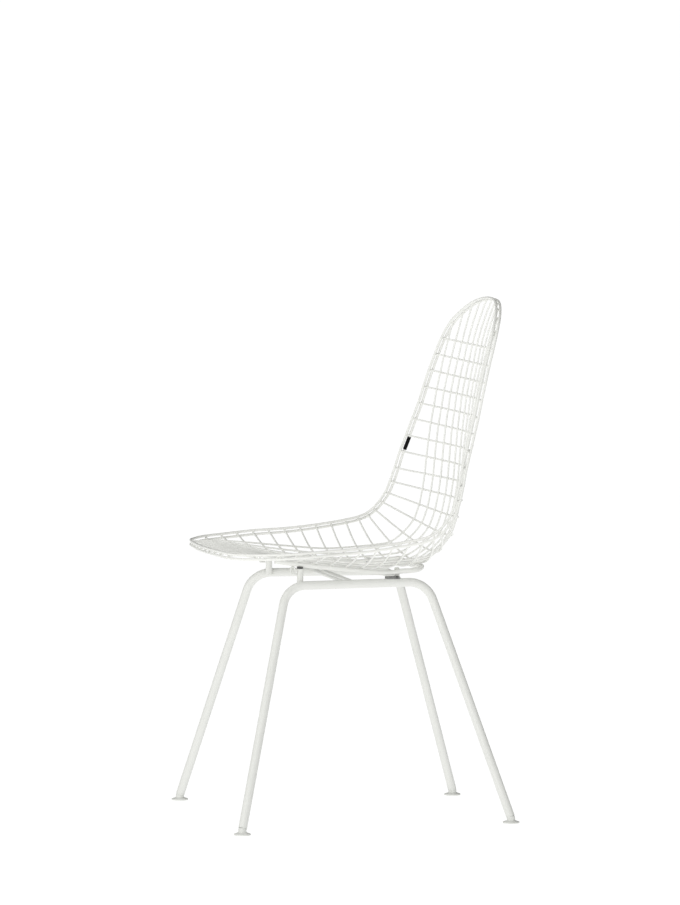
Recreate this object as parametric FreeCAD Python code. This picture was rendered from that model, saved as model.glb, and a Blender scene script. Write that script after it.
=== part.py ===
import FreeCAD, Part
import os
import math

os.makedirs("parts", exist_ok=True)

V = FreeCAD.Vector

# ---------------------------------------------------------------------------
# Wire mesh side chair on a four-leg tube base. Millimetres, +Z up, the sitter
# faces -Y, +X is the sitter's left. The shell is mirror-symmetric about X = 0.
# ---------------------------------------------------------------------------

# ---- shell wires -----------------------------------------------------------
MESH_R = 1.5            # radius of the crossing mesh wires
RIM_R = 2.1             # radius of the two rim wires
WELD = 0.15             # how far welded crossings press into each other
RIM_WELD = 0.20
TACK = 0.02             # the same for the small hooks
PITCH = 26.66           # spacing of the lengthwise wires at both ends
N_LONG = 11             # lengthwise wires, on the sitter's side of the mesh
N_CROSS = 25            # cross wires, on the underside
WIRE_PAST_RIM = 1.0     # wire ends stand this far past the rim's middle
Y_SHIFT = -2.34         # puts the middle of the overall depth at Y = 0

# Rim middle line beside each cross wire, top to front: half width, Y, Z
RIM_SIDE = [
    (151.3, 200.1, 757.7), (159.5, 191.2, 731.2), (166.9, 183.2, 704.7),
    (173.2, 175.4, 677.0), (178.6, 168.2, 649.8), (185.7, 160.0, 623.8),
    (193.1, 151.4, 596.1), (200.1, 142.9, 569.8), (207.1, 135.8, 541.7),
    (212.0, 129.1, 519.1), (214.9, 121.7, 500.3), (216.7, 112.2, 485.8),
    (217.1, 100.6, 473.3), (217.4, 89.1, 465.0), (215.0, 72.5, 459.0),
    (211.4, 50.6, 454.8), (209.5, 25.3, 451.0), (209.1, -0.2, 447.6),
    (208.8, -26.9, 444.7), (208.4, -53.5, 442.5), (209.2, -79.7, 441.2),
    (210.8, -105.8, 439.7), (207.3, -133.3, 437.7), (197.9, -161.7, 436.0),
    (182.7, -191.1, 434.9),
]
# Middle of each cross wire: Y, Z, and how round its bow is
MID = [
    (218.0, 753.9, 0.703), (212.3, 726.2, 0.909), (206.3, 699.1, 0.977),
    (201.1, 672.3, 1.013), (197.2, 644.4, 1.163), (193.6, 616.6, 1.369),
    (191.0, 589.3, 1.547), (188.7, 561.5, 1.733), (186.1, 535.0, 1.782),
    (181.9, 507.8, 1.805), (175.3, 478.3, 1.650), (164.0, 449.3, 1.481),
    (140.6, 423.6, 1.218), (114.1, 407.5, 0.943), (81.2, 403.0, 0.792),
    (51.6, 401.2, 0.719), (25.2, 399.9, 0.732), (-0.2, 399.7, 0.783),
    (-25.9, 402.1, 0.880), (-51.8, 405.6, 1.011), (-79.4, 409.9, 1.118),
    (-107.7, 415.6, 1.191), (-136.3, 422.1, 1.174), (-164.9, 428.1, 1.095),
    (-193.4, 432.1, 0.955),
]
# How close the lengthwise wires draw together at each cross wire (1.0 further on)
SPREAD = [1.0, 1.0, 1.0, 1.0, 0.985, 0.96, 0.93, 0.895, 0.88,
          0.87, 0.88, 0.89, 0.92, 0.955, 0.985]
# Rim middle line over the top and along the front, at X = 0, 1, .. 5 pitches
RIM_TOP = [(242.4, 829.7), (241.0, 828.7), (236.9, 824.9), (230.7, 817.4),
           (222.6, 804.9), (211.5, 785.6)]
RIM_FRONT = [(-240.9, 434.8), (-240.6, 434.9), (-239.5, 435.1),
             (-237.6, 435.2), (-233.8, 434.9), (-226.8, 433.9)]

# ---- base ------------------------------------------------------------------
TUBE_R = 7.0            # 14 mm leg tube
TUBE_WALL = 1.5
BEND_R = 40.0           # bend of the tube's middle line
RAIL_Z = 382.3
FRONT_CORNER = (120.1, -127.7)      # where leg and rail middle lines meet
BACK_CORNER = (97.8, 107.8)
FRONT_FOOT = (228.4, -225.5)        # middle of the glide pads
BACK_FOOT = (184.4, 225.5)

BALL_Z = 8.0            # ball centre of the levelling glides
BALL_R = 4.5
BALL_PLAY = 0.10
PAD_R = 13.5
PAD_EDGE = 2.4
PAD_H = 4.4
NECK_R = 6.6            # socket neck and the dome on it
DOME_GAP = 0.35         # dome to the hollow under the leg plug
MOUTH_OUT = 51.0        # socket mouth, degrees from the pad's axis, outside
MOUTH_IN = 62.0         # and inside
PLUG_LOW = 2.6          # lower edge of the nylon plug, from the ball centre
TUBE_END = 5.0          # tube end to ball centre, along the leg
PLUG_TOP = 20.0
STUD_R = 2.5
STUD_FIT = 0.06         # radial play of the stud in its plug

CROSS_ROD_R = 3.0
CROSS_ROD_Y = (-28.7, -13.6)
CROSS_ROD_Z = 384.5
POST_R = 5.25
POST_XY = (108.4, -103.2)
POST_Z = (380.0, 408.6)
LOOP_R = 4.0            # heavy mounting rod under the seat
LOOP_J = 4              # its side runs lie under the 4th lengthwise wires
PAD_Y = 47.3            # rear rubber saddles
PAD_LEN = 22.2          # with a notch beside the tab
PAD_TOP = 392.4
TAB_Y = 59.6
TAB_TOP = 406.4
HOOK_R = 1.3
TAG_LEN = 22.6          # plain blank tag on the rim's right side


def parts_file(name, shape):
    shape.exportStep("parts/" + name + ".step")


def unit(v):
    w = V(v.x, v.y, v.z)
    w.normalize()
    return w


# ---- mesh surface ----------------------------------------------------------
def section(k, x):
    w, yr, zr = RIM_SIDE[k]
    yc, zc, a = MID[k]
    u = abs(x) / w
    g = a * u * u + (1.0 - a) * u ** 4
    return V(x, yc + (yr - yc) * g + Y_SHIFT, zc + (zr - zc) * g)


def section_tan(k, x):
    w, yr, zr = RIM_SIDE[k]
    yc, zc, a = MID[k]
    u = abs(x) / w
    s = 1.0 if x >= 0 else -1.0
    dg = s * (2.0 * a * u + 4.0 * (1.0 - a) * u ** 3) / w
    return unit(V(1.0, (yr - yc) * dg, (zr - zc) * dg))


def long_x(k, j):
    return (j - (N_LONG - 1) // 2) * PITCH * (SPREAD[k] if k < len(SPREAD) else 1.0)


def end_point(table, j):
    i = abs(j - (N_LONG - 1) // 2)
    return V(long_x(N_CROSS, j), table[i][0] + Y_SHIFT, table[i][1])


NODE = [[section(k, long_x(k, j)) for j in range(N_LONG)] for k in range(N_CROSS)]
TOP = [end_point(RIM_TOP, j) for j in range(N_LONG)]
FRONT = [end_point(RIM_FRONT, j) for j in range(N_LONG)]


def bessel(pts, closed=False):
    """Tangents of a smooth curve through points, each from its neighbours."""
    n = len(pts)
    out = []
    for i in range(n):
        if closed or 0 < i < n - 1:
            a, b, c = pts[(i - 1) % n], pts[i], pts[(i + 1) % n]
            d0, d1 = b - a, c - b
            h0, h1 = d0.Length, d1.Length
            t = d0 * (h1 / h0) + d1 * (h0 / h1)
        elif i == 0:
            a, b, c = pts[0], pts[1], pts[2]
            d0, d1 = b - a, c - b
            h0, h1 = d0.Length, d1.Length
            m = d0 * (h1 / h0) + d1 * (h0 / h1)
            m = m * (1.0 / (h0 + h1))
            t = d0 * (2.0 / h0) - m
        else:
            a, b, c = pts[n - 3], pts[n - 2], pts[n - 1]
            d0, d1 = b - a, c - b
            h0, h1 = d0.Length, d1.Length
            m = d0 * (h1 / h0) + d1 * (h0 / h1)
            m = m * (1.0 / (h0 + h1))
            t = d1 * (2.0 / h1) - m
        out.append(unit(t))
    return out


LONG_LINE = []
for j in range(N_LONG):
    LONG_LINE.append([TOP[j]] + [NODE[k][j] for k in range(N_CROSS)] + [FRONT[j]])
LONG_TAN = [bessel(line) for line in LONG_LINE]


def node_normal(k, j):
    """Square to the mesh, towards the sitter."""
    return unit(LONG_TAN[j][k + 1].cross(section_tan(k, long_x(k, j))))


NORMAL = [[node_normal(k, j) for j in range(N_LONG)] for k in range(N_CROSS)]


# ---- round wire along tangent arcs -----------------------------------------
def biarc_mid(p0, t0, p1, t1):
    v = p1 - p0
    t = t0 + t1
    vt = v.dot(t)
    c = t0.dot(t1)
    d = v.dot(v) / (vt + math.sqrt(vt * vt + 2.0 * (1.0 - c) * v.dot(v)))
    return (p0 + t0 * d + p1 - t1 * d) * 0.5


def ends_of(pts, tans):
    """End points of the arcs that join the stations, two arcs a span."""
    out = []
    for i in range(len(pts) - 1):
        out.append(biarc_mid(pts[i], tans[i], pts[i + 1], tans[i + 1]))
        out.append(pts[i + 1])
    return out


def sweep_faces(start, tan, ends, circles):
    """Torus and cylinder faces of round sections along tangent arcs."""
    faces = [[] for c in circles]
    p, t = start, tan
    length = 0.0
    for q in ends:
        d = q - p
        cr = t.cross(d)
        s = cr.Length / d.Length
        if s < 1.5e-4:              # as good as straight
            d = t * t.dot(d)
            q = p + d
            for i in range(len(circles)):
                faces[i].append(circles[i].extrude(d))
                moved = circles[i].copy()
                moved.translate(d)
                circles[i] = moved
            length += d.Length
        else:
            n = unit(cr)
            side = n.cross(t)
            rad = d.dot(d) / (2.0 * d.dot(side))
            c = p + side * rad
            ang = math.degrees(2.0 * math.atan2(cr.Length, t.dot(d)))
            for i in range(len(circles)):
                faces[i].append(circles[i].revolve(c, n, ang))
                moved = circles[i].copy()
                moved.rotate(c, n, ang)
                circles[i] = moved
            t = FreeCAD.Rotation(n, ang).multVec(t)
            length += rad * math.radians(ang)
        p = q
    return faces, circles, length, t


def sew_solid(faces):
    comp = Part.makeCompound(faces)
    comp.sewShape()
    shell = comp.Shells[0]
    solid = Part.makeSolid(shell)
    if solid.Volume < 0:
        solid.reverse()
    return solid


def wire_solid(start, tan, ends, r):
    c0 = Part.Circle(start, tan, r).toShape()
    faces, circ, length, t = sweep_faces(start, tan, ends, [c0])
    caps = [Part.Face(Part.Wire([c0])), Part.Face(Part.Wire([circ[0]]))]
    solid = sew_solid(faces[0] + caps)
    want = math.pi * r * r * length
    if not solid.isValid() or abs(solid.Volume - want) > 0.002 * want:
        raise RuntimeError("wire volume %.2f, wanted %.2f" % (solid.Volume, want))
    return solid


def tube_solid(start, tan, ends, r, wall):
    ro = Part.Circle(start, tan, r).toShape()
    ri = Part.Circle(start, tan, r - wall).toShape()
    faces, circ, length, t = sweep_faces(start, tan, ends, [ro, ri])
    rings = []
    for a, b in ((ro, ri), (circ[0], circ[1])):
        big = Part.Face(Part.Wire([a]))
        small = Part.Face(Part.Wire([b]))
        rings.append(big.cut(small).Faces[0])
    solid = sew_solid(faces[0] + faces[1] + rings)
    want = math.pi * (r * r - (r - wall) ** 2) * length
    if not solid.isValid() or abs(solid.Volume - want) > 0.002 * want:
        raise RuntimeError("tube volume %.2f, wanted %.2f" % (solid.Volume, want))
    return solid


def filleted(pts, rad):
    """Start, tangent and arc ends of straight runs joined by bends."""
    ends = []
    for i in range(1, len(pts) - 1):
        a = unit(pts[i] - pts[i - 1])
        b = unit(pts[i + 1] - pts[i])
        half = 0.5 * math.acos(max(-1.0, min(1.0, a.dot(b))))
        cut = rad * math.tan(half)
        ends.append(pts[i] - a * cut)
        ends.append(pts[i] + b * cut)
    ends.append(pts[-1])
    return pts[0], unit(pts[1] - pts[0]), ends


# ---- cross wires -----------------------------------------------------------
LIFT = MESH_R - 0.5 * WELD
CROSS_PTS = []
for k in range(N_CROSS):
    w, yr, zr = RIM_SIDE[k]
    pts = [V(-w, yr + Y_SHIFT, zr)]
    pts += [NODE[k][j] - NORMAL[k][j] * LIFT for j in range(N_LONG)]
    pts += [V(w, yr + Y_SHIFT, zr)]
    tans = bessel(pts)
    tans[0] = section_tan(k, -w)
    tans[-1] = section_tan(k, w)
    CROSS_PTS.append(pts)
    start = pts[0] - tans[0] * WIRE_PAST_RIM
    ends = [pts[0]] + ends_of(pts, tans) + [pts[-1] + tans[-1] * WIRE_PAST_RIM]
    parts_file("cross_wire_%02d" % (k + 1), wire_solid(start, tans[0], ends, MESH_R))

# ---- lengthwise wires ------------------------------------------------------
LONG_PTS = []
LONG_DIR = []
LONG_ENDS = []
for j in range(N_LONG):
    pts = [TOP[j]]
    pts += [NODE[k][j] + NORMAL[k][j] * LIFT for k in range(N_CROSS)]
    pts += [FRONT[j]]
    tans = bessel(pts)
    LONG_PTS.append(pts)
    LONG_DIR.append(tans)
    body = ends_of(pts, tans)
    LONG_ENDS.append(body)
    start = pts[0] - tans[0] * WIRE_PAST_RIM
    ends = [pts[0]] + body + [pts[-1] + tans[-1] * WIRE_PAST_RIM]
    parts_file("long_wire_%02d" % (j + 1), wire_solid(start, tans[0], ends, MESH_R))

# ---- rim: two wires with the mesh ends between them -------------------------
C = (N_LONG - 1) // 2
stations = []           # +X half, top to front: point, direction into the mesh
for i in range(C + 1):
    j = C + i
    stations.append((TOP[j], unit(LONG_PTS[j][1] - TOP[j]), NORMAL[0][j]))
for k in range(N_CROSS):
    w, yr, zr = RIM_SIDE[k]
    stations.append((V(w, yr + Y_SHIFT, zr), section_tan(k, w) * -1.0,
                     NORMAL[k][N_LONG - 1]))
for i in range(C, -1, -1):
    j = C + i
    stations.append((FRONT[j], unit(LONG_PTS[j][-2] - FRONT[j]),
                     NORMAL[N_CROSS - 1][j]))


def mirrored(v):
    return V(-v.x, v.y, v.z)


def loop_tangents(half):
    """Tangents of a closed mirror-symmetric curve, for its +X half."""
    full = half + [mirrored(p) for p in half[-2:0:-1]]
    return bessel(full, closed=True)[:len(half)]


mid_pts = [s[0] for s in stations]
mid_tan = loop_tangents(mid_pts)
rim_n = []
for (p, inward, ref), t in zip(stations, mid_tan):
    n = unit(t.cross(inward))
    if n.dot(ref) < 0:
        n = n * -1.0
    rim_n.append(n)
rim_n[0].x = 0.0
rim_n[-1].x = 0.0
for turn in range(2):
    full = [mirrored(rim_n[1])] + rim_n + [mirrored(rim_n[-2])]
    rim_n = [unit(full[i - 1] + full[i] * 2.0 + full[i + 1])
             for i in range(1, len(full) - 1)]

RIM_GAP = RIM_R + MESH_R - RIM_WELD
RIM_SHAPES = {}
for name, sgn in (("rim_wire_upper", 1.0), ("rim_wire_lower", -1.0)):
    pts = [p + n * (sgn * RIM_GAP) for p, n in zip(mid_pts, rim_n)]
    tans = loop_tangents(pts)
    tans[0] = V(1, 0, 0)
    tans[-1] = V(-1, 0, 0)
    first = Part.Circle(pts[0], V(1, 0, 0), RIM_R).toShape()
    fa, ca, la, ta = sweep_faces(pts[0], tans[0], ends_of(pts, tans), [first])
    mp = [mirrored(p) for p in pts]
    mt = [mirrored(t) for t in tans]
    fb, cb, lb, tb = sweep_faces(mp[0], mt[0], ends_of(mp, mt), [first])
    solid = sew_solid(fa[0] + fb[0])
    want = math.pi * RIM_R ** 2 * (la + lb)
    if not solid.isValid() or abs(solid.Volume - want) > 0.002 * want:
        raise RuntimeError("rim volume %.2f, wanted %.2f" % (solid.Volume, want))
    RIM_SHAPES[name] = solid
    parts_file(name, solid)

# ---- side frames: two legs and a rail bent from one tube --------------------
def foot_ball(front, side):
    x, y = FRONT_FOOT if front else BACK_FOOT
    return V(side * x, y + Y_SHIFT, BALL_Z)


def corner(front, side):
    x, y = FRONT_CORNER if front else BACK_CORNER
    return V(side * x, y + Y_SHIFT, RAIL_Z)


def leg_dir(front, side):
    """Unit vector up the leg, from the ball to the rail corner."""
    return unit(corner(front, side) - foot_ball(front, side))


SOLID_FRAME = {}
for name, side in (("left", 1.0), ("right", -1.0)):
    a = foot_ball(True, side) + leg_dir(True, side) * TUBE_END
    b = foot_ball(False, side) + leg_dir(False, side) * TUBE_END
    start, tan, ends = filleted([a, corner(True, side), corner(False, side), b], BEND_R)
    parts_file("side_frame_" + name, tube_solid(start, tan, ends, TUBE_R, TUBE_WALL))
    SOLID_FRAME[name] = wire_solid(start, tan, ends, TUBE_R)


def rail_x(y):
    (x0, y0), (x1, y1) = FRONT_CORNER, BACK_CORNER
    return x0 + (x1 - x0) * (y - y0) / (y1 - y0)


# ---- two cross rods between the rails ---------------------------------------
rods = []
for y in CROSS_ROD_Y:
    x = rail_x(y)
    rod = Part.makeCylinder(CROSS_ROD_R, 2 * x, V(-x, y + Y_SHIFT, CROSS_ROD_Z), V(1, 0, 0))
    rod = rod.cut(SOLID_FRAME["left"]).cut(SOLID_FRAME["right"])
    rods.append(rod.Solids[0])
parts_file("cross_rods", Part.makeCompound(rods))

# ---- mounting loop: one heavy rod welded under the mesh ----------------------
DROP = LIFT + MESH_R + LOOP_R - WELD
JL = C + LOOP_J
side_pts = [NODE[k][JL] - NORMAL[k][JL] * DROP for k in (22, 21, 20, 19, 18)]
fwd = unit(side_pts[0] - side_pts[1])
front_end = side_pts[0] + fwd * 8.0


def under_long(j, span):
    """Rod middle under a lengthwise wire, halfway along the first arc of a span."""
    p = LONG_PTS[j][span]
    d = LONG_ENDS[j][2 * span] - p
    e = unit(d)
    quarter = 0.5 * math.acos(min(1.0, LONG_DIR[j][span].dot(e)))
    p = p + unit(LONG_DIR[j][span] + e) * (0.5 * d.Length / math.cos(quarter))
    n = NORMAL[span - 1][j] * 0.75 + NORMAL[span][j] * 0.25
    n = unit(n - e * n.dot(e))
    return p - n * (MESH_R + LOOP_R - WELD)


SPAN = 14               # between the 14th and 15th cross wires from the top
rear_pts = [V(103.3, 2.0 + Y_SHIFT, 401.9), V(100.6, 27.0 + Y_SHIFT, 399.0),
            V(99.8, PAD_Y + Y_SHIFT, 398.0), V(99.3, 65.0 + Y_SHIFT, 400.2),
            V(97.2, 84.0 + Y_SHIFT, 400.9), V(90.5, 97.0 + Y_SHIFT, 402.0),
            V(78.0, 104.6 + Y_SHIFT, 404.4)]
half = [front_end] + side_pts + rear_pts + [under_long(C + i, SPAN) for i in (2, 1, 0)]
loop_pts = half + [mirrored(p) for p in half[-2::-1]]
loop_tan = bessel(loop_pts)
LOOP_BODY = wire_solid(loop_pts[0], loop_tan[0], ends_of(loop_pts, loop_tan), LOOP_R)


def loop_at(y):
    """Rod middle on the +X side run at a given depth."""
    for a, b in zip(loop_pts, loop_pts[1:]):
        if a.y <= y <= b.y:
            return a + (b - a) * ((y - a.y) / (b.y - a.y))
    raise ValueError(y)


SCREW_R = 2.0
SCREW_HOLE_R = 2.05
screw_at = loop_at(TAB_Y + Y_SHIFT)
LOOP = LOOP_BODY
for side in (1.0, -1.0):
    hole = Part.makeCylinder(SCREW_HOLE_R, 12.0, V(side * (screw_at.x - 10.0), screw_at.y,
                             screw_at.z), V(side, 0, 0))
    LOOP = LOOP.cut(hole)
LOOP = LOOP.Solids[0]
parts_file("mounting_loop", LOOP)

# ---- front posts, rubber seats and retaining hooks ---------------------------
posts, washers, hooks = [], [], []
for name, side in (("left", 1.0), ("right", -1.0)):
    base = V(side * POST_XY[0], POST_XY[1] + Y_SHIFT, POST_Z[0])
    post = Part.makeCylinder(POST_R, POST_Z[1] - POST_Z[0], base)
    posts.append(post.cut(SOLID_FRAME[name]).Solids[0])
    top = V(base.x, base.y, POST_Z[1])
    rubber = Part.makeCylinder(POST_R - 0.4, 3.3, top).cut(LOOP_BODY)
    washers.append(sorted(rubber.Solids, key=lambda s: s.CenterOfMass.z)[0])

    # bent wire: post, up to the underside of the rod, down and back to the post
    reach = POST_R + HOOK_R - TACK
    px = POST_XY[0] + reach * math.cos(math.radians(-62.0))
    py = POST_XY[1] + Y_SHIFT + reach * math.sin(math.radians(-62.0))
    rod_p = loop_at(-117.0 + Y_SHIFT)
    crest = V(rod_p.x + 0.8, rod_p.y, rod_p.z - LOOP_R - HOOK_R + 3.68)
    line = [V(px, py + 0.4, 404.0), crest, V(crest.x + 1.2, crest.y - 2.2, 400.6),
            V(px, py, 400.2)]
    line = [V(side * p.x, p.y, p.z) for p in line]
    start, tan, ends = filleted(line, 2.4)
    hooks.append(wire_solid(start, tan, ends, HOOK_R))
parts_file("front_posts", Part.makeCompound(posts))
parts_file("front_rubbers", Part.makeCompound(washers))
parts_file("retaining_hooks", Part.makeCompound(hooks))

# ---- rear rubber saddles -----------------------------------------------------
saddles = []
for name, side in (("left", 1.0), ("right", -1.0)):
    box = Part.makeBox(10.0, PAD_LEN, PAD_TOP - 386.5,
                       V(side * 101.2 - 5.0, PAD_Y - 8.0 + Y_SHIFT, 386.5))
    notch = Part.makeBox(12.0, 3.2, 8.0, V(side * 101.2 - 6.0, PAD_Y + 8.0 + Y_SHIFT, 390.4))
    cut = box.cut(notch).cut(SOLID_FRAME[name]).cut(LOOP_BODY)
    keep = [s for s in cut.Solids if s.Volume > 150.0]
    saddles.append(keep[0])
parts_file("rear_saddles", Part.makeCompound(saddles))

# ---- rear tabs and their screws ----------------------------------------------
TAB_T = 3.0
TAB_W = 8.0
tabs, screws = [], []
for name, side in (("left", 1.0), ("right", -1.0)):
    outer = screw_at.x - LOOP_R + 0.5
    inner = outer - TAB_T
    x0 = min(side * inner, side * outer)
    low = 379.0
    plate = Part.makeBox(TAB_T, TAB_W, TAB_TOP - low, V(x0, screw_at.y - TAB_W / 2, low))
    plate = plate.makeFillet(2.6, [e for e in plate.Edges if abs(e.Length - TAB_T) < 0.01
                                   and e.CenterOfMass.z > TAB_TOP - 1.0])
    bore = Part.makeCylinder(SCREW_HOLE_R, TAB_T + 2.0, V(x0 - 1.0, screw_at.y, screw_at.z),
                             V(1, 0, 0))
    foot = Part.makeBox(10.0, PAD_LEN, 3.0, V(side * 101.2 - 5.0, PAD_Y - 8.0 + Y_SHIFT,
                        PAD_TOP))
    tab = plate.fuse(foot).removeSplitter().cut(bore)
    tab = tab.cut(SOLID_FRAME[name]).cut(LOOP_BODY)
    tabs.append(sorted(tab.Solids, key=lambda s: -s.Volume)[0])

    d = V(side, 0, 0)
    at = V(side * inner, screw_at.y, screw_at.z)
    head = Part.makeCylinder(3.6, 2.6, at - d * 2.6, d)
    shank = Part.makeCylinder(SCREW_R, TAB_T + 5.0, at, d)
    key = Part.makeCylinder(1.5, 1.5, at - d * 2.6, d)
    screws.append(head.fuse(shank).cut(key).Solids[0])
parts_file("rear_tabs", Part.makeCompound(tabs))
parts_file("tab_screws", Part.makeCompound(screws))

# ---- plain tag clipped over the lower rim wire --------------------------------
KT = 6                  # beside the gap between the 7th and 8th cross wires
ia = C + 1 + KT
tag_t = unit(mid_pts[ia + 1] - mid_pts[ia])
tag_mid = (mid_pts[ia] + mid_pts[ia + 1]) * 0.5 - tag_t * 1.3
tag_n = unit(rim_n[ia] + rim_n[ia + 1])
tag_m = unit(tag_t.cross(tag_n))
tag_n = unit(tag_m.cross(tag_t))
tag_box = []
half_w = 2.6
for sn in (-6.0, -0.9):
    for sm in (-half_w, half_w):
        tag_box.append(tag_mid - tag_t * (TAG_LEN / 2) + tag_n * sn + tag_m * sm)
quad = [tag_box[0], tag_box[1], tag_box[3], tag_box[2], tag_box[0]]
quad = [mirrored(p) for p in quad]
block = Part.Face(Part.makePolygon(quad)).extrude(mirrored(tag_t) * TAG_LEN)
block = block.makeFillet(1.0, [e for e in block.Edges if abs(e.Length - TAG_LEN) < 0.01])
block = block.cut(RIM_SHAPES["rim_wire_lower"]).cut(RIM_SHAPES["rim_wire_upper"])
parts_file("blank_tag", sorted(block.Solids, key=lambda s: -s.Volume)[0])


# ---- leg plugs and levelling glides -------------------------------------------
def turned(points):
    """Solid turned about Z from a closed outline of points and arcs."""
    edges = []
    here = points[0]
    for item in points[1:]:
        if len(item) == 2:
            edges.append(Part.makeLine(V(here[0], 0, here[1]), V(item[0], 0, item[1])))
            here = item
        else:
            via, to = item[0:2], item[2:4]
            arc = Part.Arc(V(here[0], 0, here[1]), V(via[0], 0, via[1]), V(to[0], 0, to[1]))
            edges.append(arc.toShape())
            here = to
    face = Part.Face(Part.Wire(edges))
    solid = face.revolve(V(0, 0, 0), V(0, 0, 1), 360.0)
    solid = solid.Solids[0] if solid.Solids else Part.makeSolid(solid.Shells[0])
    if solid.Volume < 0:
        solid.reverse()
    if not solid.isValid():
        raise RuntimeError("turned piece")
    return solid


def placed(shape, at, axis):
    out = shape.copy()
    out.Placement = FreeCAD.Placement(at, FreeCAD.Rotation(V(0, 0, 1), axis))
    return out


def polar(r, deg, z=0.0):
    return (r * math.sin(math.radians(deg)), z + r * math.cos(math.radians(deg)))


hole = STUD_R + STUD_FIT
ins = TUBE_R - TUBE_WALL - 0.02
hollow = NECK_R + DOME_GAP
low_r = math.sqrt(hollow ** 2 - PLUG_LOW ** 2)
hole_z = math.sqrt(hollow ** 2 - hole ** 2)
half = polar(hollow, 0.5 * (math.degrees(math.asin(low_r / hollow))
                            + math.degrees(math.asin(hole / hollow))))
plug = turned([(low_r, PLUG_LOW), (TUBE_R - 0.3, PLUG_LOW), (TUBE_R, PLUG_LOW + 0.3),
               (TUBE_R, TUBE_END), (ins, TUBE_END), (ins, PLUG_TOP - 0.8),
               (ins - 0.8, PLUG_TOP), (hole, PLUG_TOP), (hole, hole_z),
               (half[0], half[1], low_r, PLUG_LOW)])
neck_z = math.sqrt(BALL_R ** 2 - STUD_R ** 2)
head = PLUG_TOP + 0.35
stud = turned([(0, -BALL_R), (BALL_R, 0, STUD_R, neck_z), (STUD_R, head), (3.4, head),
               (3.4, head + 1.6), (0, head + 1.6), (0, -BALL_R)])
cav = BALL_R + BALL_PLAY
dome_via = polar(NECK_R, 0.5 * (90.0 + MOUTH_OUT), BALL_Z)
dome_end = polar(NECK_R, MOUTH_OUT, BALL_Z)
mouth = polar(cav, MOUTH_IN, BALL_Z)
r45 = math.sqrt(0.5)
pad = turned([(0, 0), (PAD_R - 0.5, 0), (PAD_R, 0.5), (PAD_R, PAD_EDGE - 0.8),
              (PAD_R - 0.8 + 0.8 * r45, PAD_EDGE - 0.8 + 0.8 * r45, PAD_R - 0.8, PAD_EDGE),
              (NECK_R + 0.9, PAD_H),
              (NECK_R + 0.9 - 0.9 * r45, PAD_H + 0.9 - 0.9 * r45, NECK_R, PAD_H + 0.9),
              (NECK_R, BALL_Z),
              (dome_via[0], dome_via[1], dome_end[0], dome_end[1]), mouth,
              (cav, BALL_Z, 0, BALL_Z - cav), (0, 0)])
plugs = []
for fname, front in (("front", True), ("back", False)):
    for sname, side in (("left", 1.0), ("right", -1.0)):
        ball = foot_ball(front, side)
        up = leg_dir(front, side)
        plugs.append(placed(plug, ball, up))
        parts_file("glide_stud_%s_%s" % (fname, sname), placed(stud, ball, up))
        parts_file("glide_pad_%s_%s" % (fname, sname),
                   placed(pad, V(ball.x, ball.y, 0.0), V(0, 0, 1)))
        print(fname, sname, "ball", [round(c, 3) for c in ball], "up", [round(c, 6) for c in up])
parts_file("leg_plugs", Part.makeCompound(plugs))
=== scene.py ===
import bpy
import bmesh
import math
import random
from mathutils import Vector, Matrix


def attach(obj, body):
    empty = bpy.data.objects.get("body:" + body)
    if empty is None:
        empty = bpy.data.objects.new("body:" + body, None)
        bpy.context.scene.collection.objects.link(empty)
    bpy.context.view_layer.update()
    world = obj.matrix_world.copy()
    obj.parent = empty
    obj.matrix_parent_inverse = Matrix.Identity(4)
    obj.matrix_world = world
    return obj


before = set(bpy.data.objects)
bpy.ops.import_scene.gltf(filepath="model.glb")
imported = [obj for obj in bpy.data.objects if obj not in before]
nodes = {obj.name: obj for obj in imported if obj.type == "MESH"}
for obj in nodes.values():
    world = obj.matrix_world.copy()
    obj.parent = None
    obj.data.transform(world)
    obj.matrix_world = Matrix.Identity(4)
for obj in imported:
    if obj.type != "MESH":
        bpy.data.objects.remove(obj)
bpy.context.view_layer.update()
random.seed(7)
MM = 0.001

# ---------------------------------------------------------------------------
# Camera: the photograph's angle, distance and lens
# ---------------------------------------------------------------------------
YAW, PITCH, ROLL = -1.3299530853, -0.0753923061, 0.0003736895
cam_data = bpy.data.cameras.new("camera")
cam = bpy.data.objects.new("camera", cam_data)
bpy.context.scene.collection.objects.link(cam)
fw = Vector((math.cos(PITCH) * math.sin(YAW), math.cos(PITCH) * math.cos(YAW), math.sin(PITCH)))
right = fw.cross(Vector((0, 0, 1))).normalized()
up = right.cross(fw)
r2 = right * math.cos(ROLL) + up * math.sin(ROLL)
u2 = up * math.cos(ROLL) - right * math.sin(ROLL)
m = Matrix.Identity(4)
for i in range(3):
    m[i][0], m[i][1], m[i][2] = r2[i], u2[i], -fw[i]
m[0][3], m[1][3], m[2][3] = 10.68460, -2.63765, 1.41589
cam.matrix_world = m
cam_data.lens = 272.513
cam_data.sensor_width = 36.0
cam_data.clip_start = 0.1
cam_data.clip_end = 2000.0
bpy.context.scene.camera = cam
bpy.context.scene.view_settings.view_transform = "Standard"
bpy.context.scene.view_settings.look = "None"


# ---------------------------------------------------------------------------
# Materials
# ---------------------------------------------------------------------------
def new_material(name):
    mat = bpy.data.materials.new(name)
    mat.use_nodes = True
    nt = mat.node_tree
    return mat, nt, nt.nodes["Principled BSDF"]


def noise(nt, coord, scale, detail=3.0, rough=0.5):
    n = nt.nodes.new("ShaderNodeTexNoise")
    n.inputs["Scale"].default_value = scale
    n.inputs["Detail"].default_value = detail
    n.inputs["Roughness"].default_value = rough
    nt.links.new(coord, n.inputs["Vector"])
    return n.outputs["Fac"]


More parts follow.
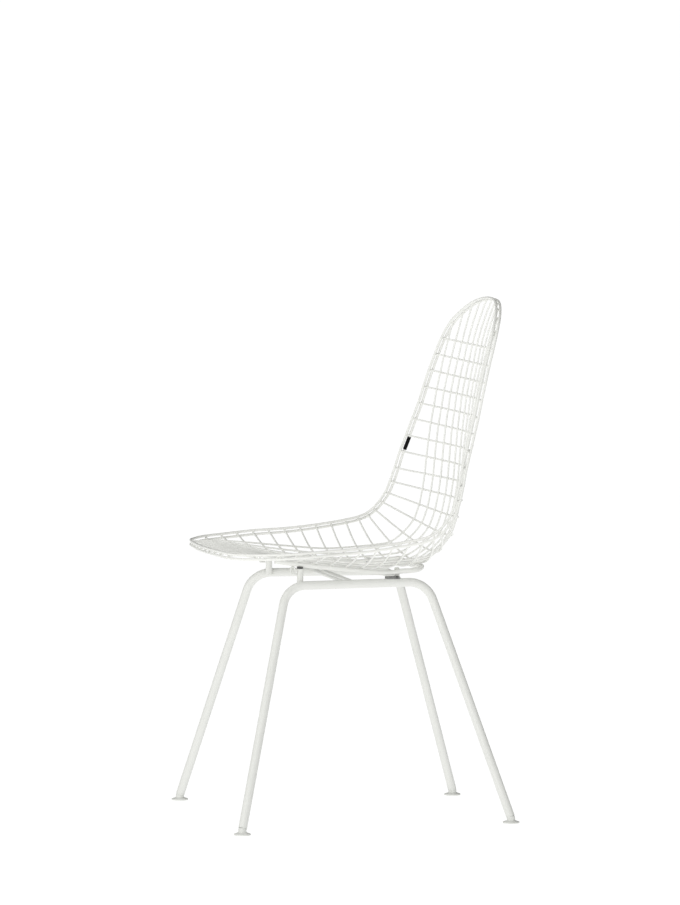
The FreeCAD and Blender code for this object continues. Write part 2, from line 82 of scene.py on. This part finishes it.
def ramp(nt, fac, stops):
    r = nt.nodes.new("ShaderNodeValToRGB")
    while len(r.color_ramp.elements) < len(stops):
        r.color_ramp.elements.new(0.5)
    for e, (pos, col) in zip(r.color_ramp.elements, stops):
        e.position = pos
        e.color = (col[0], col[1], col[2], 1.0)
    nt.links.new(fac, r.inputs["Fac"])
    return r.outputs["Color"]


def spread(nt, fac, low, high, lo_in=0.3, hi_in=0.7):
    mr = nt.nodes.new("ShaderNodeMapRange")
    mr.inputs["From Min"].default_value = lo_in
    mr.inputs["From Max"].default_value = hi_in
    mr.inputs["To Min"].default_value = low
    mr.inputs["To Max"].default_value = high
    nt.links.new(fac, mr.inputs["Value"])
    return mr.outputs["Result"]


def bump(nt, heights, bsdf, distance):
    """Adds up (height, strength) layers into one normal."""
    last = None
    for fac, strength in heights:
        b = nt.nodes.new("ShaderNodeBump")
        b.inputs["Strength"].default_value = strength
        b.inputs["Distance"].default_value = distance
        nt.links.new(fac, b.inputs["Height"])
        if last is not None:
            nt.links.new(last, b.inputs["Normal"])
        last = b.outputs["Normal"]
    nt.links.new(last, bsdf.inputs["Normal"])


def position(nt):
    return nt.nodes.new("ShaderNodeTexCoord").outputs["Object"]


def powder_coat(name, tones, rough, peel, grain):
    """Baked powder coat: fine orange peel, faint cloudiness, specks of dust."""
    mat, nt, bsdf = new_material(name)
    p = position(nt)
    cloud = noise(nt, p, 14.0, 4.0, 0.6)
    speck = noise(nt, p, 900.0, 2.0, 0.7)
    tone = ramp(nt, cloud, [(0.30, tones[0]), (0.55, tones[1]), (0.80, tones[2])])
    dirt = ramp(nt, speck, [(0.27, (0.80, 0.80, 0.79)), (0.36, (1, 1, 1))])
    mix = nt.nodes.new("ShaderNodeMix")
    mix.data_type = "RGBA"
    mix.blend_type = "MULTIPLY"
    mix.inputs["Factor"].default_value = 0.16
    nt.links.new(tone, mix.inputs["A"])
    nt.links.new(dirt, mix.inputs["B"])
    nt.links.new(mix.outputs["Result"], bsdf.inputs["Base Color"])
    nt.links.new(spread(nt, noise(nt, p, 60.0, 3.0), rough - 0.05, rough + 0.07),
                 bsdf.inputs["Roughness"])
    bump(nt, [(noise(nt, p, peel, 2.0, 0.45), 0.10), (noise(nt, p, grain, 2.0, 0.5), 0.05)],
         bsdf, 0.00010)
    bsdf.inputs["IOR"].default_value = 1.5
    bsdf.inputs["Specular IOR Level"].default_value = 0.45
    return mat


# Wires and base carry the same white powder coat. The wire coat's lighter tone is painted light
# on the seat mesh, and the frame coat's darker tone is painted shade on the base below it.
WIRE_WHITE_PAINTED_LIGHT = [(0.815, 0.820, 0.785), (0.842, 0.846, 0.812), (0.860, 0.863, 0.832)]
FRAME_WHITE_PAINTED_SHADE = [(0.748, 0.755, 0.722), (0.772, 0.778, 0.746), (0.792, 0.797, 0.767)]
mat_wire_painted_light = powder_coat("wire_coating_painted_light", WIRE_WHITE_PAINTED_LIGHT, 0.34, 520.0, 1500.0)
mat_frame_painted_shade = powder_coat("frame_coating_painted_shade", FRAME_WHITE_PAINTED_SHADE, 0.32, 380.0, 1200.0)


def rubber(name, low, high):
    mat, nt, bsdf = new_material(name)
    p = position(nt)
    nt.links.new(ramp(nt, noise(nt, p, 220.0, 4.0), [(0.30, (low, low, low)),
                 (0.75, (high, high, high * 0.96))]), bsdf.inputs["Base Color"])
    nt.links.new(spread(nt, noise(nt, p, 300.0), 0.55, 0.8), bsdf.inputs["Roughness"])
    bump(nt, [(noise(nt, p, 1400.0, 2.0), 0.3)], bsdf, 0.0001)
    return mat


def steel():
    mat, nt, bsdf = new_material("plated_steel")
    p = position(nt)
    bsdf.inputs["Metallic"].default_value = 1.0
    nt.links.new(ramp(nt, noise(nt, p, 260.0, 3.0), [(0.3, (0.52, 0.52, 0.53)),
                 (0.7, (0.68, 0.68, 0.69))]), bsdf.inputs["Base Color"])
    nt.links.new(spread(nt, noise(nt, p, 700.0), 0.22, 0.42), bsdf.inputs["Roughness"])
    bump(nt, [(noise(nt, p, 1600.0, 2.0), 0.15)], bsdf, 0.00008)
    return mat


def nylon():
    mat, nt, bsdf = new_material("glide_nylon")
    p = position(nt)
    nt.links.new(ramp(nt, noise(nt, p, 90.0, 4.0), [(0.3, (0.715, 0.725, 0.690)),
                 (0.7, (0.775, 0.782, 0.750))]), bsdf.inputs["Base Color"])
    nt.links.new(spread(nt, noise(nt, p, 420.0), 0.40, 0.58), bsdf.inputs["Roughness"])
    bump(nt, [(noise(nt, p, 1100.0, 2.0), 0.18)], bsdf, 0.0001)
    return mat


def tag_plastic():
    mat, nt, bsdf = new_material("tag_plastic")
    p = position(nt)
    nt.links.new(ramp(nt, noise(nt, p, 350.0, 3.0), [(0.3, (0.0015, 0.0015, 0.0015)),
                 (0.7, (0.0040, 0.0040, 0.0040))]), bsdf.inputs["Base Color"])
    nt.links.new(spread(nt, noise(nt, p, 600.0), 0.42, 0.58), bsdf.inputs["Roughness"])
    bsdf.inputs["Specular IOR Level"].default_value = 0.10
    bump(nt, [(noise(nt, p, 1800.0, 2.0), 0.15)], bsdf, 0.0001)
    return mat


mat_rubber = rubber("rubber", 0.055, 0.105)
mat_saddle = rubber("saddle_rubber", 0.150, 0.250)
mat_steel, mat_nylon, mat_tag = steel(), nylon(), tag_plastic()


def material_of(name):
    if name.startswith(("cross_wire", "long_wire", "rim_wire")) or name == "mounting_loop":
        return mat_wire_painted_light
    if name == "rear_saddles":
        return mat_saddle
    if name == "front_rubbers":
        return mat_rubber
    if name == "blank_tag":
        return mat_tag
    if name.startswith("glide_pad") or name == "leg_plugs":
        return mat_nylon
    if name.startswith("glide_stud") or name == "tab_screws":
        return mat_steel
    return mat_frame_painted_shade


for name, o in nodes.items():
    if not o.material_slots:
        o.data.materials.append(material_of(name))
    for s in o.material_slots:
        s.material = material_of(name)

# ---------------------------------------------------------------------------
# The mesh surface again, for the welds at its crossings (millimetres)
# ---------------------------------------------------------------------------
PITCH_X, N_LONG, N_CROSS, Y_SHIFT = 26.66, 11, 25, -2.34
RIM_SIDE = [
    (151.3, 200.1, 757.7), (159.5, 191.2, 731.2), (166.9, 183.2, 704.7),
    (173.2, 175.4, 677.0), (178.6, 168.2, 649.8), (185.7, 160.0, 623.8),
    (193.1, 151.4, 596.1), (200.1, 142.9, 569.8), (207.1, 135.8, 541.7),
    (212.0, 129.1, 519.1), (214.9, 121.7, 500.3), (216.7, 112.2, 485.8),
    (217.1, 100.6, 473.3), (217.4, 89.1, 465.0), (215.0, 72.5, 459.0),
    (211.4, 50.6, 454.8), (209.5, 25.3, 451.0), (209.1, -0.2, 447.6),
    (208.8, -26.9, 444.7), (208.4, -53.5, 442.5), (209.2, -79.7, 441.2),
    (210.8, -105.8, 439.7), (207.3, -133.3, 437.7), (197.9, -161.7, 436.0),
    (182.7, -191.1, 434.9),
]
MID = [
    (218.0, 753.9, 0.703), (212.3, 726.2, 0.909), (206.3, 699.1, 0.977),
    (201.1, 672.3, 1.013), (197.2, 644.4, 1.163), (193.6, 616.6, 1.369),
    (191.0, 589.3, 1.547), (188.7, 561.5, 1.733), (186.1, 535.0, 1.782),
    (181.9, 507.8, 1.805), (175.3, 478.3, 1.650), (164.0, 449.3, 1.481),
    (140.6, 423.6, 1.218), (114.1, 407.5, 0.943), (81.2, 403.0, 0.792),
    (51.6, 401.2, 0.719), (25.2, 399.9, 0.732), (-0.2, 399.7, 0.783),
    (-25.9, 402.1, 0.880), (-51.8, 405.6, 1.011), (-79.4, 409.9, 1.118),
    (-107.7, 415.6, 1.191), (-136.3, 422.1, 1.174), (-164.9, 428.1, 1.095),
    (-193.4, 432.1, 0.955),
]
# How close the lengthwise wires draw together at each cross wire (1.0 further on)
SPREAD = [1.0, 1.0, 1.0, 1.0, 0.985, 0.96, 0.93, 0.895, 0.88,
          0.87, 0.88, 0.89, 0.92, 0.955, 0.985]
RIM_TOP = [(242.4, 829.7), (241.0, 828.7), (236.9, 824.9), (230.7, 817.4),
           (222.6, 804.9), (211.5, 785.6)]
RIM_FRONT = [(-240.9, 434.8), (-240.6, 434.9), (-239.5, 435.1),
             (-237.6, 435.2), (-233.8, 434.9), (-226.8, 433.9)]
C = (N_LONG - 1) // 2


def section(k, x):
    w, yr, zr = RIM_SIDE[k]
    yc, zc, a = MID[k]
    g = a * (x / w) ** 2 + (1.0 - a) * (x / w) ** 4
    return Vector((x, yc + (yr - yc) * g + Y_SHIFT, zc + (zr - zc) * g))


def section_tan(k, x):
    w, yr, zr = RIM_SIDE[k]
    yc, zc, a = MID[k]
    dg = (2.0 * a * (x / w) + 4.0 * (1.0 - a) * (x / w) ** 3) / w
    return Vector((1.0, (yr - yc) * dg, (zr - zc) * dg)).normalized()


def long_x(k, j):
    return (j - C) * PITCH_X * (SPREAD[k] if k < len(SPREAD) else 1.0)


def end_point(table, j):
    y, z = table[abs(j - C)]
    return Vector(((j - C) * PITCH_X, y + Y_SHIFT, z))


def bessel(pts):
    out = []
    for i in range(len(pts)):
        if 0 < i < len(pts) - 1:
            d0, d1 = pts[i] - pts[i - 1], pts[i + 1] - pts[i]
            h0, h1 = d0.length, d1.length
            out.append((d0 * (h1 / h0) + d1 * (h0 / h1)).normalized())
        else:
            a, b = (pts[0], pts[1]) if i == 0 else (pts[-2], pts[-1])
            out.append((b - a).normalized())
    return out


NODE = [[section(k, long_x(k, j)) for j in range(N_LONG)] for k in range(N_CROSS)]
TOP = [end_point(RIM_TOP, j) for j in range(N_LONG)]
FRONT = [end_point(RIM_FRONT, j) for j in range(N_LONG)]
LONG_TAN = [bessel([TOP[j]] + [NODE[k][j] for k in range(N_CROSS)] + [FRONT[j]])
            for j in range(N_LONG)]


def normal_at(k, j):
    return LONG_TAN[j][k + 1].cross(section_tan(k, long_x(k, j))).normalized()


# ---------------------------------------------------------------------------
# Weld metal
# ---------------------------------------------------------------------------
def add_nugget(bm, centre, ax, ay, az, radii, rings=7, around=14):
    """A small smooth lens of weld metal, a little uneven, at a crossing."""
    rows = []
    wob = [1.0 + random.uniform(-0.05, 0.05) for i in range(around)]
    for a in range(1, rings):
        th = math.pi * a / rings
        row = []
        for b in range(around):
            ph = 2.0 * math.pi * b / around
            s = wob[b] * math.sin(th)
            p = (centre + ax * (radii[0] * s * math.cos(ph)) + ay * (radii[1] * s * math.sin(ph))
                 + az * (radii[2] * math.cos(th)))
            row.append(bm.verts.new(p * MM))
        rows.append(row)
    top = bm.verts.new((centre + az * radii[2]) * MM)
    low = bm.verts.new((centre - az * radii[2]) * MM)
    for b in range(around):
        c = (b + 1) % around
        bm.faces.new((top, rows[0][b], rows[0][c]))
        bm.faces.new((low, rows[-1][c], rows[-1][b]))
        for a in range(len(rows) - 1):
            bm.faces.new((rows[a][b], rows[a + 1][b], rows[a + 1][c], rows[a][c]))


def finish_mesh(bm, name, mat, body):
    bmesh.ops.recalc_face_normals(bm, faces=bm.faces[:])
    for f in bm.faces:
        f.smooth = True
    me = bpy.data.meshes.new(name)
    bm.to_mesh(me)
    bm.free()
    me.materials.append(mat)
    o = bpy.data.objects.new(name, me)
    bpy.context.scene.collection.objects.link(o)
    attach(o, body)
    return o


bm = bmesh.new()
for k in range(N_CROSS):
    for j in range(N_LONG):
        n = normal_at(k, j)
        t = LONG_TAN[j][k + 1]
        c = n.cross(t).normalized()
        add_nugget(bm, NODE[k][j], t, c, n, (1.95, 1.95, 0.95))
finish_mesh(bm, "mesh_welds", mat_wire_painted_light, "chair")

# rim: the mesh wires' ends lie between the two rim wires
stations = []
for i in range(C + 1):
    stations.append((TOP[C + i], (NODE[0][C + i] - TOP[C + i]).normalized(), normal_at(0, C + i)))
for k in range(N_CROSS):
    w, yr, zr = RIM_SIDE[k]
    stations.append((Vector((w, yr + Y_SHIFT, zr)), -section_tan(k, w), normal_at(k, N_LONG - 1)))
for i in range(C, -1, -1):
    stations.append((FRONT[C + i], (NODE[-1][C + i] - FRONT[C + i]).normalized(),
                     normal_at(N_CROSS - 1, C + i)))
mirror = Matrix.Diagonal((-1.0, 1.0, 1.0))
line = [s[0] for s in stations]
loop = line + [mirror @ p for p in line[-2:0:-1]]
rim_t = []
for i in range(len(line)):
    a, b, c = loop[i - 1], loop[i], loop[(i + 1) % len(loop)]
    d0, d1 = b - a, c - b
    rim_t.append((d0 * (d1.length / d0.length) + d1 * (d0.length / d1.length)).normalized())
rim_n = []
for (p, inward, ref), t in zip(stations, rim_t):
    n = t.cross(inward).normalized()
    rim_n.append(n if n.dot(ref) > 0 else -n)
rim_n[0].x = rim_n[-1].x = 0.0
for turn in range(2):
    full = [mirror @ rim_n[1]] + rim_n + [mirror @ rim_n[-2]]
    rim_n = [(full[i - 1] + full[i] * 2.0 + full[i + 1]).normalized()
             for i in range(1, len(full) - 1)]
bm = bmesh.new()
for i, (p, t, n) in enumerate(zip(line, rim_t, rim_n)):
    for side in ((1.0,) if i in (0, len(line) - 1) else (1.0, -1.0)):
        q, tt, nn = (p, t, n) if side > 0 else (mirror @ p, mirror @ t, mirror @ n)
        inw = nn.cross(tt).normalized()
        for s in (1.42, -1.42):
            add_nugget(bm, q + nn * s, tt, inw, nn, (2.15, 1.75, 0.62))
finish_mesh(bm, "rim_welds", mat_wire_painted_light, "chair")

# heavy rod: welded under four cross wires each side and three lengthwise wires
bm = bmesh.new()
for k in (22, 21, 20, 19, 18):
    for j in (C - 4, C + 4):
        n = normal_at(k, j)
        t = LONG_TAN[j][k + 1]
        c = n.cross(t).normalized()
        add_nugget(bm, NODE[k][j] - n * 2.86, t, c, n, (2.2, 3.0, 0.72))
finish_mesh(bm, "rod_welds", mat_wire_painted_light, "chair")

# ---------------------------------------------------------------------------
# Weld beads of the base
# ---------------------------------------------------------------------------
FRONT_CORNER, BACK_CORNER, RAIL_Z, TUBE_R = (120.1, -127.7), (97.8, 107.8), 382.3, 7.0


def tube_along(bm, pts, radius, closed, around=10):
    """A bead with fine ripples along a line."""
    n = len(pts)
    rings = []
    for i in range(n):
        if closed:
            t = (pts[(i + 1) % n] - pts[i - 1]).normalized()
        else:
            t = (pts[min(i + 1, n - 1)] - pts[max(i - 1, 0)]).normalized()
        ref = Vector((0, 0, 1)) if abs(t.z) < 0.8 else Vector((1, 0, 0))
        u = t.cross(ref).normalized()
        v = t.cross(u)
        r = radius * (1.0 + 0.10 * math.sin(i * 1.9))
        if not closed and i in (0, n - 1):
            r *= 0.35
        rings.append([bm.verts.new((pts[i] + u * (r * math.cos(2 * math.pi * b / around))
                                    + v * (r * math.sin(2 * math.pi * b / around))) * MM)
                      for b in range(around)])
    last = n if closed else n - 1
    for i in range(last):
        a, b = rings[i], rings[(i + 1) % n]
        shift = 0
        if closed and i == n - 1:
            shift = min(range(around), key=lambda s: (a[0].co - b[s].co).length)
        for c in range(around):
            d = (c + 1) % around
            bm.faces.new((a[c], a[d], b[(d + shift) % around], b[(c + shift) % around]))
    if not closed:
        bm.faces.new(rings[0])
        bm.faces.new(rings[-1][::-1])


def rail_point(y):
    (x0, y0), (x1, y1) = FRONT_CORNER, BACK_CORNER
    return x0 + (x1 - x0) * (y - y0) / (y1 - y0)


def rail_side(y):
    """Distance scale between an X offset and a true distance from the rail."""
    dx, dy = BACK_CORNER[0] - FRONT_CORNER[0], BACK_CORNER[1] - FRONT_CORNER[1]
    return abs(dy) / math.hypot(dx, dy)


bm = bmesh.new()
for side in (1.0, -1.0):
    # front posts against the rails' inner sides
    pts = []
    for i in range(61):
        a = math.radians(-80.0 + 160.0 * i / 60.0)
        x, y = 108.4 + 5.25 * math.cos(a), -103.2 + 5.25 * math.sin(a)
        d = (rail_point(y) - x) * rail_side(y)
        if abs(d) < TUBE_R - 0.05:
            pts.append(Vector((side * x, y + Y_SHIFT, RAIL_Z + math.sqrt(TUBE_R ** 2 - d * d))))
    if len(pts) > 3:
        low0, low1 = pts[0].copy(), pts[-1].copy()
        low0.z = low1.z = 381.0
        tube_along(bm, [low0] + pts + [low1], 0.85, False)
    # cross rods into the rails
    for y0 in (-28.7, -13.6):
        pts = []
        for i in range(28):
            a = 2 * math.pi * i / 28
            y, z = y0 + 3.05 * math.cos(a), 384.5 + 3.05 * math.sin(a)
            d = math.sqrt(TUBE_R ** 2 - (z - RAIL_Z) ** 2)
            x = rail_point(y) - d / rail_side(y)
            pts.append(Vector((side * x, y + Y_SHIFT, z)))
        tube_along(bm, pts, 0.7, True)
    # rear tabs on the rails' inner sides
    for y in (55.6, 63.6):
        x = rail_point(y) - TUBE_R / rail_side(y)
        pts = [Vector((side * (x + 0.1), y + Y_SHIFT, z)) for z in
               (379.6, 380.6, 381.6, 382.6, 383.6, 384.6)]
        tube_along(bm, pts, 0.8, False)
finish_mesh(bm, "base_welds", mat_frame_painted_shade, "chair")

# ---------------------------------------------------------------------------
# Floor, world and lights
# ---------------------------------------------------------------------------
bm = bmesh.new()
bmesh.ops.create_circle(bm, cap_ends=True, radius=400.0, segments=96)
me = bpy.data.meshes.new("floor")
bm.to_mesh(me)
bm.free()
floor = bpy.data.objects.new("floor", me)
bpy.context.scene.collection.objects.link(floor)
fmat, nt, bsdf = new_material("floor")
bsdf.inputs["Base Color"].default_value = (0.16, 0.16, 0.16, 1.0)
bsdf.inputs["Roughness"].default_value = 0.9
bsdf.inputs["Specular IOR Level"].default_value = 0.0
bsdf.inputs["Emission Color"].default_value = (1.0, 1.0, 1.0, 1.0)
bsdf.inputs["Emission Strength"].default_value = 0.97
me.materials.append(fmat)

world = bpy.data.worlds.new("studio")
bpy.context.scene.world = world
world.use_nodes = True
wt = world.node_tree
wt.nodes.clear()
out = wt.nodes.new("ShaderNodeOutputWorld")
coord = wt.nodes.new("ShaderNodeTexCoord")
# brighter in front of the chair and overhead, dark behind it and to its back
lean = wt.nodes.new("ShaderNodeVectorMath")
lean.operation = "DOT_PRODUCT"
wt.links.new(coord.outputs["Generated"], lean.inputs[0])
lean.inputs[1].default_value = (0.74, -0.60, 0.30)
grad = wt.nodes.new("ShaderNodeMapRange")
grad.interpolation_type = "SMOOTHSTEP"
grad.inputs["From Min"].default_value = -0.60
grad.inputs["From Max"].default_value = 0.75
grad.inputs["To Min"].default_value = 0.08
grad.inputs["To Max"].default_value = 0.60
wt.links.new(lean.outputs["Value"], grad.inputs["Value"])
bg_light = wt.nodes.new("ShaderNodeBackground")
bg_light.inputs["Color"].default_value = (1.0, 1.0, 0.99, 1.0)
wt.links.new(grad.outputs["Result"], bg_light.inputs["Strength"])
bg_seen = wt.nodes.new("ShaderNodeBackground")
bg_seen.inputs["Color"].default_value = (1.0, 1.0, 1.0, 1.0)
bg_seen.inputs["Strength"].default_value = 1.0
path = wt.nodes.new("ShaderNodeLightPath")
mixer = wt.nodes.new("ShaderNodeMixShader")
wt.links.new(path.outputs["Is Camera Ray"], mixer.inputs["Fac"])
wt.links.new(bg_light.outputs["Background"], mixer.inputs[1])
wt.links.new(bg_seen.outputs["Background"], mixer.inputs[2])
wt.links.new(mixer.outputs["Shader"], out.inputs["Surface"])


def softbox(name, place, target, size, power):
    ld = bpy.data.lights.new(name, "AREA")
    ld.shape = "RECTANGLE"
    ld.size, ld.size_y = size
    ld.energy = power
    lo = bpy.data.objects.new(name, ld)
    lo.location = place
    lo.rotation_mode = "QUATERNION"
    lo.rotation_quaternion = (Vector(target) - Vector(place)).to_track_quat("-Z", "Y")
    bpy.context.scene.collection.objects.link(lo)
    return lo


softbox("key", (2.4, -2.3, 1.0), (0.0, 0.0, 0.42), (2.0, 1.6), 26.0)
softbox("top", (0.2, -1.2, 3.1), (0.0, 0.0, 0.45), (1.8, 1.8), 17.0)
softbox("side", (1.9, 1.9, 0.30), (0.05, 0.10, 0.15), (1.2, 0.6), 5.0)
